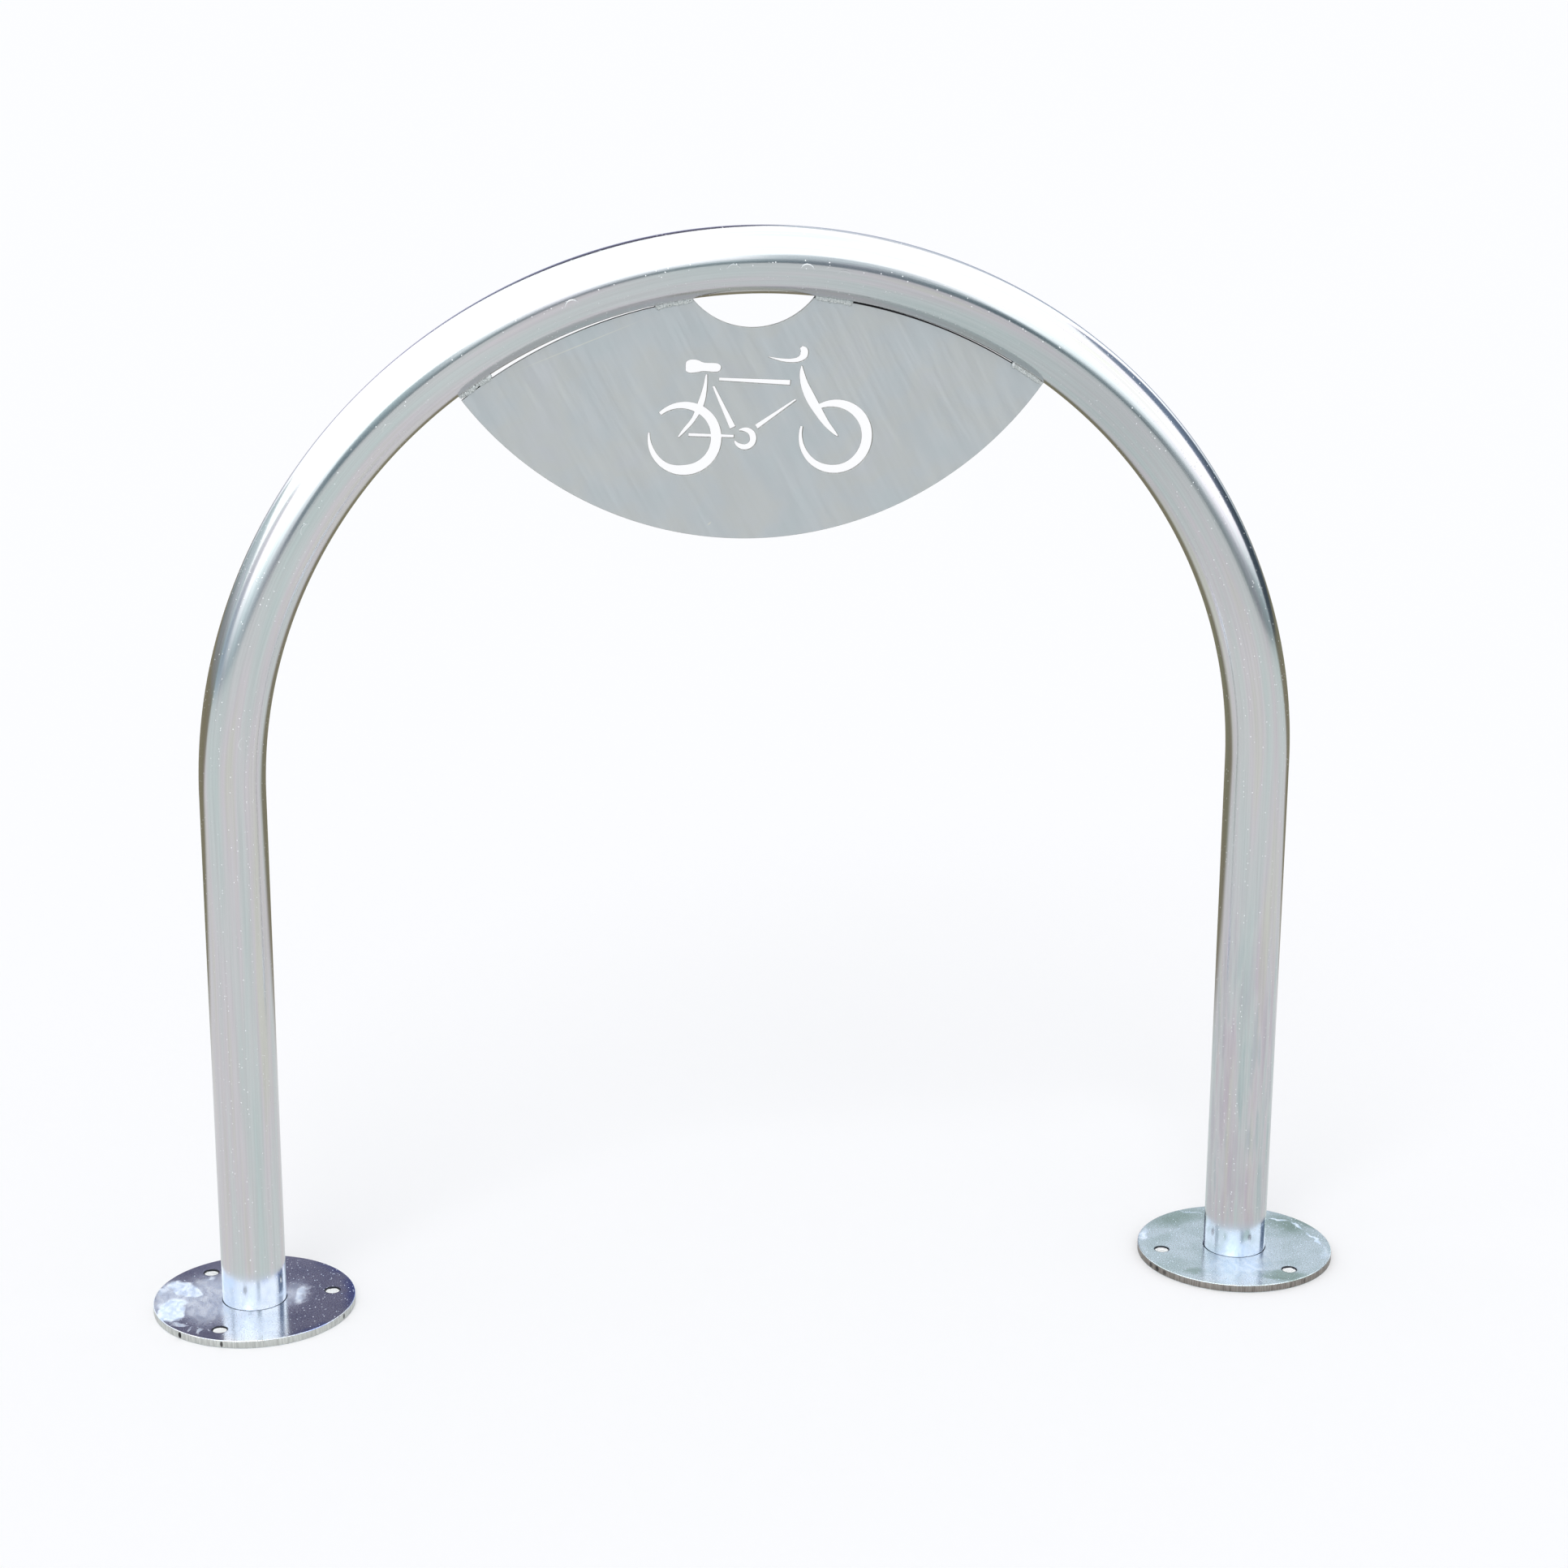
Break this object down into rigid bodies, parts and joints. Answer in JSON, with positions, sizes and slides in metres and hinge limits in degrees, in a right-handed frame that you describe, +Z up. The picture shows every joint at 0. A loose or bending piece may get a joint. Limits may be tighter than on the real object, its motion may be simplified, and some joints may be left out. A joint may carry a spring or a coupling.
{
  "type": "hoop bike rack",
  "caption": "Inverted-U bike rack of bent steel tube on round bolt-down base flanges, with a curved sign plate under its arch and a bicycle cut through the plate.",
  "frame": {"origin": "on the ground, midway between the two legs", "axes": "+X from the left leg to the right leg in the plane of the hoop, +Y from the front to the back, +Z up"},
  "size_m": [0.9186, 0.152, 0.8125],
  "materials": {
    "tube_zinc": "bright zinc plate on drawn steel tube, satin with soft lengthwise streaks",
    "flange_zinc": "bright zinc plate on cut steel, mottled, with a faint blue and violet cast",
    "plate_zinc": "satin zinc plate on flat sheet steel",
    "weld_zinc": "zinc plate over a rough weld bead"
  },
  "bodies": {
    "root": {"hoop_tube": "tube_zinc", "base_flange_left": "flange_zinc", "base_flange_right": "flange_zinc", "base_weld_left": "weld_zinc", "base_weld_right": "weld_zinc", "sign_plate": "plate_zinc", "plate_weld_tip_left_front": "weld_zinc", "plate_weld_tip_left_back": "weld_zinc", "plate_weld_tip_right_front": "weld_zinc", "plate_weld_tip_right_back": "weld_zinc", "plate_weld_top_left_front": "weld_zinc", "plate_weld_top_left_back": "weld_zinc", "plate_weld_top_right_front": "weld_zinc", "plate_weld_top_right_back": "weld_zinc"}
  },
  "joints": []
}
